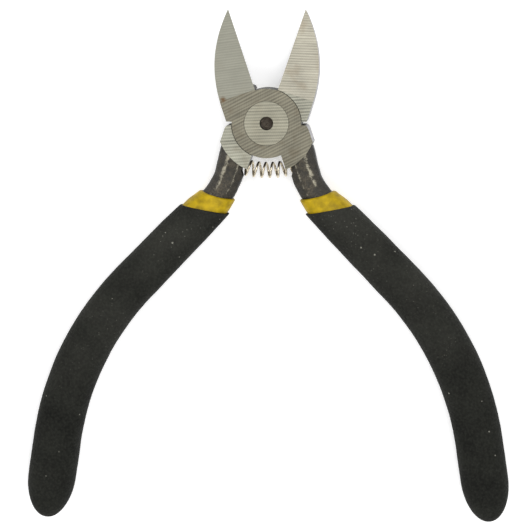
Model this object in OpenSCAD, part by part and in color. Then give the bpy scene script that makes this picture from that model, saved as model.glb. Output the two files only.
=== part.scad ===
// Diagonal cutting pliers with a lap joint, a return spring and double-dipped grips.
// Frame: the origin is on the pivot axis at the back face of the joint, +Z comes out of the front
// face and +Y points to the blade tips. The halves are drawn shut and then opened to the rest pose.

/* [Pose] */
// Angle that each half is opened from shut, at rest
open_half = 18.8; // [8:0.1:20]

/* [Joint] */
// Thickness of the head
head_t = 9; // [7:0.1:11]
// Radius of each half's round lap
joint_r = 9.2; // [8:0.1:11]
// Clearance between a lap and the other half's hollow
lap_gap = 0.15; // [0.1:0.05:0.3]
// Clearance between the two laps, and of the rivet in the front half
running_gap = 0.05; // [0.03:0.01:0.1]

/* [Rivet] */
// Radius of the flush front head
rivet_head_r = 5.9; // [5:0.1:6.6]
// Thickness of the front head
rivet_head_t = 2.4; // [1.5:0.1:3]
// Radius of the shank that the front half turns on
rivet_shank_r = 4; // [3:0.1:4.4]
// Radius of the closed back head, at the back face
rivet_back_r = 4.9; // [4.5:0.1:5.5]
// Depth of the closed back head
rivet_back_t = 1.1; // [0.8:0.1:1.5]
// Radius of the centre hole in the front head
centre_hole_r = 1.75; // [1:0.05:2.2]
// Depth of the centre hole
centre_hole_depth = 2; // [1:0.1:3]

/* [Blades] */
// Distance from the pivot to the tips
blade_reach = 31.8; // [26:0.1:40]
// Distance that a blade's widest point stands out beyond the round lap
blade_overhang = 0.7; // [0.2:0.1:2]
// Height of the widest point of a blade above the pivot
blade_waist_y = 6; // [5:0.1:7]
// Sharpness of the curve of a blade's back
blade_curve = 2.5; // [2:0.1:3]
// Distance from the round lap to the crease where the blade's ground faces start
crease_margin = 0.2; // [0.2:0.05:1]
// Length of the square heel between the crease and the sharpened edge
heel_len = 1.6; // [1:0.1:3]
// Step down from the joint's face to the blade's face, at the crease
crease_step = 0.15; // [0.05:0.05:0.4]
// Thickness at the tips
tip_t = 1.8; // [1:0.1:3]
// Drop of the front face from the joint's face, at the tips
tip_drop = 2.2; // [1:0.1:3.5]
// Wedge angle between the front face and the sharpened bevel
edge_angle = 58; // [45:1:70]
// Distance of each edge from the middle plane when shut
edge_gap = 0.02; // [0.01:0.01:0.05]

/* [Shoulders and necks] */
// Angle from the cross line, up to a heel's edge and down to a shoulder's, which both point to the pivot
stop_angle = 21.4; // [20:0.1:23]
// Distance of a shoulder's inner face from the middle plane when shut
shoulder_in_x = 0.95; // [0.8:0.05:1.2]
// Distance that a shoulder's outer face stands out beyond the round lap
shoulder_overhang = 0.85; // [0.4:0.05:2]
// Width of the ground face between the round lap and the shoulder's lower end
face_w = 4; // [3.4:0.1:6]
// Step in from the shoulder's outer face to the neck
neck_step = 0.45; // [0.2:0.05:1]
// Step down from the joint's faces to the top and back of the neck
neck_drop = 0.3; // [0.2:0.05:0.8]
// Length over which the neck thins to the tang's size
neck_taper_len = 7.5; // [6:0.5:10]
// Width of the tang
tang_w = 7.5; // [6.5:0.1:8]
// Thickness of the tang
tang_t = 6.6; // [6:0.1:7.6]
// Width of the flat along the top of the neck and tang
neck_flat = 3.1; // [2:0.1:3.6]

/* [Handles] */
// Length of the neck's straight run, from its root to where it bends outwards
neck_len = 7; // [6.5:0.1:10]
// Radius of the outward bend, on the centreline
flare_r = 18.7; // [14:0.1:25]
// Angle of the outward bend
flare_angle = 25.2; // [18:0.1:28]
// Length of the straight run after the outward bend
straight_len = 30.5; // [25:0.5:42]
// Radius of the inward bow, on the centreline
bow_r = 76.5; // [60:0.5:90]
// Angle of the inward bow
bow_angle = 35.5; // [28:0.1:42]
// Length of the tail after the bow, to the end of the grip
tail_len = 21.8; // [18:0.1:30]
// Distance from the end of the tang to the end of the grip
tang_inset = 8; // [6.5:0.1:10]

/* [Grips] */
// Distance along the handle from the neck's root to the undercoat's rim
undercoat_start = 13.4; // [12:0.1:16]
// Slope of the undercoat's rim when shut
undercoat_tilt = -4; // [-8:1:0]
// Thickness of the undercoat at its rim
undercoat_rim_wall = 0.75; // [0.5:0.05:1]
// Thickness of the undercoat
undercoat_wall = 1.35; // [1:0.05:1.5]
// Length of undercoat that the outer grip leaves bare
band_len = 4.8; // [3:0.1:7]
// Slope of the outer grip's rim when shut
grip_tilt = -8; // [-12:1:0]
// Thickness of the outer grip at its rim
grip_rim_wall = 0.4; // [0.3:0.05:0.6]
// Thickness of the outer grip towards its end
grip_wall = 1.25; // [0.9:0.05:1.6]
// Length over which the outer grip thickens, fastest at its rim
grip_taper_len = 60; // [30:1:70]
// Length of the grip's rounded nose
nose_len = 11.8; // [10:0.1:14]
// Squareness of the grips' oval section, where 2 is an ellipse
oval_power = 2.5; // [2:0.1:3.5]
// Space left between the bonded layers
bond_gap = 0.02; // [0.01:0.01:0.05]

/* [Spring] */
// Space between the joint and the coils
spring_clear = 1.5; // [0.8:0.1:3]
// Radius of the spring's bowed centreline, at rest
spring_bow_r = 24; // [20:1:40]
// Diameter of the spring's wire
wire_d = 0.62; // [0.5:0.02:0.8]
// Outside diameter of the coils
coil_d = 4.5; // [4:0.1:5]
// Pitch of the open coils, at rest
coil_pitch = 2; // [1.6:0.1:2.4]
// Radial space round the coils in the pocket in each neck
pocket_clear = 0.45; // [0.35:0.05:0.8]
// Depth of the pocket in each neck
pocket_depth = 2.8; // [2.2:0.1:3.4]

/* [Hidden] */
$fn = 96;
eps = 0.01;
far = 100;

steel = "silver";
yellow_coat = "gold";
black_coat = "darkslategray";

lap_hollow_r = joint_r + lap_gap;
blade_w = joint_r + blade_overhang;
crease_y = joint_r + crease_margin;
edge_start_y = crease_y + heel_len;
shoulder_out_x = joint_r + shoulder_overhang;
face_r = joint_r + face_w;
neck_root_y = lap_hollow_r + lap_gap;
neck_root_w = shoulder_out_x - shoulder_in_x - neck_step - eps;
neck_x = shoulder_out_x - neck_step - neck_root_w / 2;
neck_root_t = head_t - 2 * neck_drop;
spring_y = lap_hollow_r + spring_clear + coil_d / 2;
centre_hole_cone = centre_hole_r / 3;
pocket_d = coil_d + 2 * pocket_clear;
blade_steps = 24;

// Distances along the handle, from the neck's root, at which each stretch ends.
flare_s = neck_len;
straight_s = flare_s + flare_r * flare_angle * PI / 180;
bow_s = straight_s + straight_len;
tail_s = bow_s + bow_r * bow_angle * PI / 180;
end_s = tail_s + tail_len;
tail_angle = flare_angle - bow_angle;

grip_start = undercoat_start + band_len;
undercoat_end = end_s - grip_wall;
undercoat_nose_len = nose_len - grip_wall;
tang_end = end_s - tang_inset;
lean_len = 16;
ring_step = 3.5;
nose_rings = 6;
nose_ring_angle = 14;
oval_sides = 24;
tang_sides = 8;
chamfer_slope = 0.8;

// Places a half that is drawn shut, about its middle plane, into the rest pose.
module place_front() {
  translate([0, 0, head_t / 2]) rotate([0, 0, open_half]) children();
}

module place_back() {
  translate([0, 0, head_t / 2]) rotate([0, 0, -open_half]) mirror([1, 0, 0]) children();
}

function mix(a, b, u) = a + (b - a) * u;
function share(s, from, to) = min(1, max(0, (s - from) / (to - from)));
function ease(s, from, to) = let (u = share(s, from, to)) u * u * (3 - 2 * u);

// ---- Centreline of a handle, drawn shut on the +X side: straight, flare, straight, bow, tail ----

// Direction of the handle at a distance s along it, turned from -Y towards +X.
function heading(s) =
  s < flare_s ? 0 :
  s < straight_s ? (s - flare_s) / flare_r * 180 / PI :
  s < bow_s ? flare_angle :
  s < tail_s ? flare_angle - (s - bow_s) / bow_r * 180 / PI :
  tail_angle;

function forward(angle) = [sin(angle), -cos(angle)];
function across(angle) = [cos(angle), sin(angle)];

flare_from = [neck_x, -neck_root_y - neck_len];
flare_centre = flare_from + flare_r * across(0);
straight_from = flare_centre - flare_r * across(flare_angle);
bow_from = straight_from + straight_len * forward(flare_angle);
bow_centre = bow_from - bow_r * across(flare_angle);
tail_from = bow_centre + bow_r * across(tail_angle);

function spine(s) =
  s < flare_s ? [neck_x, -neck_root_y - s] :
  s < straight_s ? flare_centre - flare_r * across(heading(s)) :
  s < bow_s ? straight_from + (s - straight_s) * forward(flare_angle) :
  s < tail_s ? bow_centre + bow_r * across(heading(s)) :
  tail_from + (s - tail_s) * forward(tail_angle);

// A point of a section, x across the handle and z up, at a distance s along it.
function on_handle(s, p) =
  let (c = spine(s) + p[0] * across(heading(s))) [c[0], c[1], p[1]];

// ---- Sections and rings ----

// Corner of the tang's eight-sided section.
function tang_corner(w, t, i) =
  let (half_w = w / 2,
       half_t = t / 2,
       half_flat = neck_flat / 2,
       half_side = half_t - (half_w - half_flat) * chamfer_slope)
  [[half_w, -half_side], [half_w, half_side], [half_flat, half_t], [-half_flat, half_t],
   [-half_w, half_side], [-half_w, -half_side], [-half_flat, -half_t], [half_flat, -half_t]][i];

function signed_pow(value, power) = sign(value) * pow(abs(value), power);

function oval_point(w, t, i) =
  let (bearing = 360 * i / oval_sides - 180 / tang_sides)
  [w / 2 * signed_pow(cos(bearing), 2 / oval_power), t / 2 * signed_pow(sin(bearing), 2 / oval_power)];

function tang_size(s) =
  let (u = ease(s, 0, neck_taper_len)) [mix(neck_root_w, tang_w, u), mix(neck_root_t, tang_t, u)];

function tang_ring(s, gap, lean) =
  let (size = tang_size(s))
  [for (i = [0:tang_sides - 1])
    let (p = tang_corner(size[0] + 2 * gap, size[1] + 2 * gap, i)) on_handle(s + lean * p[0], p)];

// Shift along the handle, per millimetre across it, that slopes a rim and fades out beyond it.
function lean(s, rim, tilt) =
  tan(heading(rim) - tilt) * (1 - ease(s, rim, rim + lean_len));

// Share of the full section that is left at s, in a nose that ends at last.
function nose_share(s, last, len) = sqrt(1 - pow(share(s, last - len, last), 2));

function coat_ring(s, wall, scale, lean) =
  let (w = (tang_w + 2 * wall) * scale, t = (tang_t + 2 * wall) * scale)
  [for (i = [0:oval_sides - 1])
    let (p = oval_point(w, t, i)) on_handle(s + lean * p[0], p)];

function undercoat_wall_at(s) =
  mix(undercoat_rim_wall, undercoat_wall, ease(s, undercoat_start, grip_start));
function grip_wall_at(s) =
  mix(grip_rim_wall, grip_wall, sqrt(share(s, grip_start, grip_start + grip_taper_len)));

// Even steps from one end of a run to the other.
function steps(from, to) =
  let (count = ceil((to - from) / ring_step)) [for (i = [0:count]) mix(from, to, i / count)];
function nose_steps(last, len) =
  [for (i = [1:nose_rings]) last - len + len * sin(nose_ring_angle * i)];
function coat_steps(from, last, len) = concat(steps(from, last - len), nose_steps(last, len));

function undercoat_rings(from, gap, rim, tilt) =
  [for (s = coat_steps(from, undercoat_end + gap, undercoat_nose_len + gap))
    coat_ring(s, undercoat_wall_at(s) + gap, nose_share(s, undercoat_end + gap, undercoat_nose_len + gap),
              lean(s, rim, tilt))];

function grip_rings() =
  [for (s = coat_steps(grip_start, end_s, nose_len))
    coat_ring(s, undercoat_wall_at(s) + grip_wall_at(s), nose_share(s, end_s, nose_len),
              lean(s, grip_start, grip_tilt))];

function flat_list(rings) = [for (ring = rings) for (p = ring) p];

// Walls between rings of n points, the first of which is number first, facing out or in.
function walls(first, rings, n, outward) =
  [for (i = [0:rings - 2], j = [0:n - 1])
    let (a = first + i * n, b = a + n, k = (j + 1) % n)
    outward ? [a + j, b + j, b + k, a + k] : [a + j, a + k, b + k, b + j]];

module solid_bar(rings) {
  n = len(rings[0]);
  last = (len(rings) - 1) * n;
  polyhedron(points = flat_list(rings), faces = concat(
    [[for (j = [0:n - 1]) j]],
    walls(0, len(rings), n, true),
    [[for (j = [n - 1:-1:0]) last + j]]));
}

// A sleeve that is shut at its far end. Its rim joins the first rings, which may differ in sides.
module closed_sleeve(outer, inner) {
  n = len(outer[0]);
  m = len(inner[0]);
  inner_first = len(outer) * n;
  outer_last = inner_first - n;
  inner_last = inner_first + (len(inner) - 1) * m;
  function beside(j) = inner_first + round(j * m / n) % m;
  polyhedron(points = concat(flat_list(outer), flat_list(inner)), faces = concat(
    walls(0, len(outer), n, true),
    walls(inner_first, len(inner), m, false),
    [for (j = [0:n - 1]) beside(j) == beside(j + 1) ?
      [j, (j + 1) % n, beside(j)] : [j, (j + 1) % n, beside(j + 1), beside(j)]],
    [[for (j = [n - 1:-1:0]) outer_last + j]],
    [[for (j = [0:m - 1]) inner_last + j]]));
}

// ---- Outlines of the head, drawn shut: the blade is on -X and its handle on +X ----

// Back of the blade at a share of the way from its widest point to its tip.
function blade_back_x(u) = -edge_gap - (blade_w - edge_gap) * (1 - pow(u, blade_curve));

module blade_outline() {
  blade_rise = blade_reach - blade_waist_y;
  polygon(concat(
    [[-edge_gap, edge_gap * tan(stop_angle)], [-edge_gap, blade_reach]],
    [for (i = [blade_steps - 1:-1:0])
      [blade_back_x(i / blade_steps), blade_waist_y + blade_rise * i / blade_steps]],
    [[-blade_w, blade_w * tan(stop_angle)]]));
}

module shoulder_outline() {
  intersection() {
    polygon([[shoulder_in_x, -shoulder_in_x * tan(stop_angle)],
             [shoulder_in_x, -face_r],
             [shoulder_out_x, -face_r],
             [shoulder_out_x, -shoulder_out_x * tan(stop_angle)]]);
    circle(r = face_r);
  }
}

// ---- Head of one half, about its middle plane, with its lap on the +Z side ----

// Ground faces that thin the blade from the crease to its tip, and the sharpened bevel.
module blade_cuts() {
  rise = blade_reach - crease_y;
  front_z = head_t / 2 - crease_step;
  front_slope = atan((tip_drop - crease_step) / rise);
  back_rise = head_t - tip_drop - tip_t;
  back_slope = atan(back_rise / rise);
  translate([-far / 2, crease_y, front_z]) rotate([-front_slope, 0, 0]) cube([far, far, far]);
  translate([-far / 2, crease_y, -head_t / 2]) rotate([back_slope, 0, 0])
    translate([0, 0, -far]) cube([far, far, far]);
  translate([-edge_gap, crease_y, front_z]) rotate([-front_slope, 0, 0])
    rotate([0, 90 - edge_angle, 0])
      translate([0, edge_start_y - crease_y, -far]) cube([far, far, far]);
}

module blade(lap_side) {
  difference() {
    translate([0, 0, -head_t / 2]) linear_extrude(head_t) blade_outline();
    blade_cuts();
    other_lap_hollow(lap_side);
  }
}

// Room for the other half's lap, on the side away from this half's own lap.
module other_lap_hollow(lap_side) {
  depth = head_t / 2 + running_gap / 2;
  translate([0, 0, lap_side > 0 ? -head_t / 2 - eps : -running_gap / 2])
    cylinder(r = lap_hollow_r, h = depth + eps);
}

module lap(lap_side) {
  thick = head_t / 2 - running_gap / 2;
  translate([0, 0, lap_side > 0 ? running_gap / 2 : -head_t / 2])
    cylinder(r = joint_r, h = thick);
}

module shoulder(lap_side) {
  difference() {
    translate([0, 0, -head_t / 2]) linear_extrude(head_t) shoulder_outline();
    other_lap_hollow(lap_side);
  }
}

// Blind pocket that holds one end of the spring.
module spring_pocket() {
  mouth = 1;
  translate([shoulder_in_x - mouth, -spring_y, 0]) rotate([0, 90, 0])
    cylinder(d = pocket_d, h = mouth + pocket_depth);
}

module tang() {
  solid_bar([for (s = steps(0, tang_end)) tang_ring(s, 0, 0)]);
}

module forged_half(lap_side) {
  difference() {
    union() {
      blade(lap_side);
      lap(lap_side);
      shoulder(lap_side);
      tang();
    }
    spring_pocket();
    children();
  }
}

// ---- Rivet, about the middle plane ----

module rivet_form() {
  top = head_t / 2;
  rotate_extrude()
    polygon([[0, -top], [rivet_back_r, -top], [rivet_shank_r, -top + rivet_back_t],
             [rivet_shank_r, top - rivet_head_t], [rivet_head_r, top - rivet_head_t],
             [rivet_head_r, top], [0, top]]);
}

// Bore of the front half, with running clearance all round the rivet.
module rivet_bore() {
  seat_z = head_t / 2 - rivet_head_t - running_gap;
  translate([0, 0, -head_t]) cylinder(r = rivet_shank_r + running_gap, h = 2 * head_t);
  translate([0, 0, seat_z]) cylinder(r = rivet_head_r + running_gap, h = head_t);
}

// ---- Nodes ----

module front_half() {
  color(steel) place_front() forged_half(1) rivet_bore();
}

module back_half() {
  color(steel) place_back() forged_half(-1) rivet_form();
}

module joint_rivet() {
  color(steel) translate([0, 0, head_t / 2]) difference() {
    rivet_form();
    translate([0, 0, head_t / 2 - centre_hole_depth]) {
      cylinder(r = centre_hole_r, h = head_t);
      translate([0, 0, -centre_hole_cone]) cylinder(r1 = 0, r2 = centre_hole_r, h = centre_hole_cone);
    }
  }
}

module undercoat() {
  closed_sleeve(
    undercoat_rings(undercoat_start, 0, undercoat_start, undercoat_tilt),
    [for (s = steps(undercoat_start, tang_end + bond_gap))
      tang_ring(s, bond_gap, lean(s, undercoat_start, undercoat_tilt))]);
}

module grip() {
  closed_sleeve(grip_rings(), undercoat_rings(grip_start, bond_gap, grip_start, grip_tilt));
}

module front_undercoat() {
  color(yellow_coat) place_front() undercoat();
}

module back_undercoat() {
  color(yellow_coat) place_back() undercoat();
}

module front_grip() {
  color(black_coat) place_front() grip();
}

module back_grip() {
  color(black_coat) place_back() grip();
}

// ---- Return spring: a helix on a bowed centreline, with a closed turn at each end ----

// The middle of each pocket's mouth, at rest, and the bow's centre and half angle.
mouth_x = shoulder_in_x * cos(open_half) + spring_y * sin(open_half);
mouth_y = shoulder_in_x * sin(open_half) - spring_y * cos(open_half);
bow_mouth_angle = asin(mouth_x / spring_bow_r);
spring_centre_y = mouth_y + spring_bow_r * cos(bow_mouth_angle);
seat_gap = 0.05;
spring_end_len = pocket_depth - wire_d / 2 - seat_gap;
spring_half_angle = bow_mouth_angle + spring_end_len / spring_bow_r * 180 / PI;
spring_len = 2 * spring_half_angle * PI / 180 * spring_bow_r;
closed_coil_share = 1.05;
closed_pitch = wire_d * closed_coil_share;
first_coil_angle = 90;
spring_turns = 2 + (spring_len - 2 * closed_pitch) / coil_pitch;
wire_sides = 8;
rings_per_turn = 18;
spring_rings = round(spring_turns * rings_per_turn);

// Distance along the spring after a number of turns: one closed turn, open coils, one closed.
function axial(turns) =
  turns < 1 ? turns * closed_pitch :
  turns > spring_turns - 1 ? spring_len - (spring_turns - turns) * closed_pitch :
  closed_pitch + (turns - 1) * coil_pitch;

// A point of the wire, at a number of turns along it and a bearing round it.
function wire_point(turns, bearing) =
  let (wire_r = wire_d / 2,
       coil_r = coil_d / 2 - wire_r + wire_r * cos(bearing),
       spin = first_coil_angle + 360 * turns,
       r = spring_bow_r + coil_r * cos(spin),
       angle = (axial(turns) + wire_r * sin(bearing)) / spring_bow_r * 180 / PI - spring_half_angle - 90)
  [r * cos(angle), spring_centre_y + r * sin(angle), coil_r * sin(spin)];

function wire_ring(turns) = [for (j = [0:wire_sides - 1]) wire_point(turns, 360 * j / wire_sides)];

module return_spring() {
  color(steel) translate([0, 0, head_t / 2])
    solid_bar([for (i = [0:spring_rings]) wire_ring(spring_turns * i / spring_rings)]);
}

front_half();
back_half();
joint_rivet();
return_spring();
front_undercoat();
back_undercoat();
front_grip();
back_grip();
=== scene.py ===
"""Diagonal cutting pliers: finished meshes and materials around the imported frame."""

from __future__ import annotations

import logging
import math
from dataclasses import dataclass
from enum import Enum
from functools import cached_property
from typing import Callable, Sequence

import bmesh
import bpy
from bpy.types import Material, Node, NodeSocket, NodeTree, Object
from mathutils import Matrix, Vector, noise


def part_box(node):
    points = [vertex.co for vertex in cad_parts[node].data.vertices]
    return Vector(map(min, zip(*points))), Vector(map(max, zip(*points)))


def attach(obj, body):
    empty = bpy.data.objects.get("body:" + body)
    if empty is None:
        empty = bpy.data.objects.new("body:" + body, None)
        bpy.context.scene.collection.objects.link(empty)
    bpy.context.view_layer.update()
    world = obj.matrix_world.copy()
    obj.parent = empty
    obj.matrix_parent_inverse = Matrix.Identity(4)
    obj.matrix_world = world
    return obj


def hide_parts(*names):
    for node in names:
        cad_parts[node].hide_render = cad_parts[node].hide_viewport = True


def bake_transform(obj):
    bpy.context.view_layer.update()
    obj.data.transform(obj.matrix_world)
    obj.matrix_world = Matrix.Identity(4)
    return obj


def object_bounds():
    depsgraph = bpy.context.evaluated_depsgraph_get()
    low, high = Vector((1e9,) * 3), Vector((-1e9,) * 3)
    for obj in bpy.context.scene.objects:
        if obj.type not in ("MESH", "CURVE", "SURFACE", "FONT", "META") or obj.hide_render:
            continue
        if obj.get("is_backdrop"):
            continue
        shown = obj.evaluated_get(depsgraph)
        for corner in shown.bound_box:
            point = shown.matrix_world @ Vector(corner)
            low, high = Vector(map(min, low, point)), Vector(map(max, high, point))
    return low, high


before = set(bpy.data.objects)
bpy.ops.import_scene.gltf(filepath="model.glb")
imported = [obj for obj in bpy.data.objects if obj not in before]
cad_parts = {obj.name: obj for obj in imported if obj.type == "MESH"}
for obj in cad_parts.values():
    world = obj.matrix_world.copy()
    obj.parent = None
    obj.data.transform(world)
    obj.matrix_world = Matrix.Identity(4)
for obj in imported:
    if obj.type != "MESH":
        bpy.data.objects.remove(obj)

LOG = logging.getLogger("pliers")
MM = 0.001

Point2 = tuple[float, float]
Ring = list[Vector]
Colour = tuple[float, float, float]
Wall = Callable[[float], float]


def smooth(value: float, start: float, end: float) -> float:
    """Eases from 0 at start to 1 at end."""
    share = min(1.0, max(0.0, (value - start) / (end - start)))
    return share * share * (3.0 - 2.0 * share)


def mix(low: float, high: float, share: float) -> float:
    """Goes from low to high as share goes from 0 to 1."""
    return low + (high - low) * share


def round_corner(start: Vector, corner: Vector, end: Vector, count: int) -> list[Point2]:
    """Points of a smooth curve that leaves a corner out.

    Args:
        start: Where the curve starts.
        corner: The corner.
        end: Where the curve ends.
        count: Number of points, with both ends.

    Returns:
        The points in order.
    """
    points: list[Point2] = []
    for step in range(count):
        u = step / (count - 1)
        point = start * (1 - u) ** 2 + corner * 2 * u * (1 - u) + end * u * u
        points.append((point.x, point.y))
    return points


# ---------------------------------------------------------------------------------------------
# Sizes, in millimetres, drawn with the pliers shut and the pivot at the origin
# ---------------------------------------------------------------------------------------------


class Lap(Enum):
    """Which layer of the joint a half holds."""

    FRONT = 1
    BACK = -1


@dataclass(frozen=True)
class HeadSize:
    """Sizes of the joint, blades and shoulders."""

    thickness: float
    open_half: float = 18.8
    joint_r: float = 9.2
    lap_gap: float = 0.15
    running_gap: float = 0.05
    blade_reach: float = 31.8
    blade_overhang: float = 0.7
    blade_waist_y: float = 6.0
    blade_curve: float = 2.5
    crease_margin: float = 0.2
    crease_step: float = 0.15
    heel_len: float = 1.6
    tip_t: float = 1.8
    tip_drop: float = 2.2
    edge_angle: float = 58.0
    edge_gap: float = 0.02
    stop_angle: float = 21.4
    shoulder_in_x: float = 0.95
    shoulder_overhang: float = 0.85
    shoulder_round: float = 0.9
    face_w: float = 4.0
    neck_step: float = 0.45
    neck_drop: float = 0.3

    @property
    def half_t(self) -> float:
        """Half of the head's thickness."""
        return self.thickness / 2

    @property
    def hollow_r(self) -> float:
        """Radius of the hollow that clears the other half's lap."""
        return self.joint_r + self.lap_gap

    @property
    def crease_y(self) -> float:
        """Height of the crease across the blade."""
        return self.joint_r + self.crease_margin

    @property
    def blade_w(self) -> float:
        """Widest distance of the blade's back from the middle plane."""
        return self.joint_r + self.blade_overhang

    @property
    def shoulder_out_x(self) -> float:
        """Distance of the shoulder's outer face from the middle plane."""
        return self.joint_r + self.shoulder_overhang

    @property
    def face_r(self) -> float:
        """Radius at which the shoulder's ground face ends."""
        return self.joint_r + self.face_w

    @property
    def neck_root_y(self) -> float:
        """Depth of the neck's root below the pivot."""
        return self.hollow_r + self.lap_gap

    @property
    def neck_root_w(self) -> float:
        """Width of the neck's root."""
        return self.shoulder_out_x - self.shoulder_in_x - self.neck_step

    @property
    def neck_x(self) -> float:
        """Distance of the neck's centreline from the middle plane."""
        return self.shoulder_out_x - self.neck_step - self.neck_root_w / 2


@dataclass(frozen=True)
class RivetSize:
    """Sizes of the joint's rivet."""

    head_r: float = 5.9
    head_t: float = 2.4
    shank_r: float = 4.0
    back_r: float = 4.9
    back_t: float = 1.1
    hole_r: float = 1.75
    hole_depth: float = 2.0
    edge_round: float = 0.12


@dataclass(frozen=True)
class HandleSize:
    """Sizes of the handle's centreline and of the tang inside the grip."""

    neck_len: float = 7.0
    flare_r: float = 18.7
    flare_angle: float = 25.2
    straight_len: float = 30.5
    bow_r: float = 76.5
    bow_angle: float = 35.5
    tail_len: float = 21.8
    tang_inset: float = 8.0
    tang_w: float = 7.5
    tang_t: float = 6.6
    neck_flat: float = 3.1
    chamfer_slope: float = 0.8
    corner_round: float = 0.75
    taper_len: float = 7.5


@dataclass(frozen=True)
class CoatSize:
    """Sizes of the two dipped coats."""

    undercoat_start: float = 13.4
    undercoat_tilt: float = -4.0
    undercoat_rim_wall: float = 0.75
    undercoat_wall: float = 1.35
    band_len: float = 4.8
    grip_tilt: float = -8.0
    grip_rim_wall: float = 0.4
    grip_wall: float = 1.25
    grip_taper_len: float = 60.0
    nose_len: float = 11.8
    oval_power: float = 2.5
    lean_len: float = 16.0
    bond_gap: float = 0.02

    @property
    def grip_start(self) -> float:
        """Distance along the handle of the black coat's rim."""
        return self.undercoat_start + self.band_len


@dataclass(frozen=True)
class SpringSize:
    """Sizes of the return spring."""

    wire_d: float = 0.62
    coil_d: float = 4.5
    pitch: float = 2.0
    clear: float = 1.5
    pocket_clear: float = 0.45
    pocket_depth: float = 2.8
    pocket_sides: int = 64
    bow_r: float = 24.0
    seat_gap: float = 0.05
    closed_share: float = 1.05


# ---------------------------------------------------------------------------------------------
# Mesh tools
# ---------------------------------------------------------------------------------------------


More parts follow.
